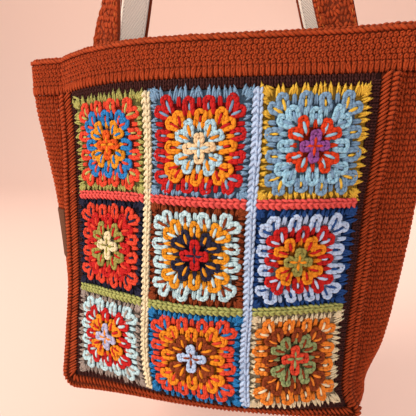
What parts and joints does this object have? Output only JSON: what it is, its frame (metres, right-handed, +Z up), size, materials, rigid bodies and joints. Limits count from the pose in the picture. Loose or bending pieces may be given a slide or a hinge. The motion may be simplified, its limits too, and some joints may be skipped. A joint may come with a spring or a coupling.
{
  "type": "crochet bag",
  "caption": "Crochet tote bag with a granny-square front, plain back, folding side gussets, ribbed rim and two lined straps, hanging by its straps.",
  "frame": {"origin": "where the bag hangs: the middle of the straps' arch, on the underside of their lining", "axes": "+Z up, the decorated front faces -Y, +X to the right seen from the front"},
  "size_m": [0.4522, 0.1585, 0.6921],
  "materials": {
    "rust": "matt worsted yarn, crocheted",
    "dark_brown": "matt worsted yarn, crocheted",
    "cream": "matt worsted yarn, crocheted",
    "periwinkle": "matt worsted yarn, crocheted",
    "coral": "matt worsted yarn, crocheted",
    "olive": "matt worsted yarn, crocheted",
    "denim": "matt worsted yarn, crocheted",
    "yellow": "matt worsted yarn, crocheted",
    "navy": "matt worsted yarn, crocheted",
    "chestnut": "matt worsted yarn, crocheted",
    "royal": "matt worsted yarn, crocheted",
    "grey": "matt worsted yarn, crocheted",
    "sky": "matt worsted yarn, crocheted",
    "peach": "matt worsted yarn, crocheted",
    "webbing": "woven cotton tape, matt",
    "patch": "soft matt patch"
  },
  "bodies": {
    "root": {"granny_square_row1_column1": "olive", "granny_square_row1_column2": "denim", "granny_square_row1_column3": "yellow", "granny_square_row2_column1": "navy", "granny_square_row2_column2": "chestnut", "granny_square_row2_column3": "royal", "granny_square_row3_column1": "grey", "granny_square_row3_column2": "sky", "granny_square_row3_column3": "peach", "joining_ridge_upright_cream": "cream", "joining_ridge_upright_periwinkle": "periwinkle", "joining_ridge_level_coral_1": "coral", "joining_ridge_level_olive_1": "olive", "joining_ridge_level_coral_2": "coral", "joining_ridge_level_olive_2": "olive", "joining_ridge_level_coral_3": "coral", "joining_ridge_level_olive_3": "olive", "dark_frame": "dark_brown", "rust_edge": "rust", "rim_band": "rust", "back_panel": "rust", "left_gusset": "rust", "base": "rust", "right_gusset": "rust", "front_seam": "rust", "back_seam": "rust", "front_strap": "rust", "back_strap": "rust", "side_patch": "patch", "front_strap_webbing": "webbing", "back_strap_webbing": "webbing"}
  },
  "joints": []
}
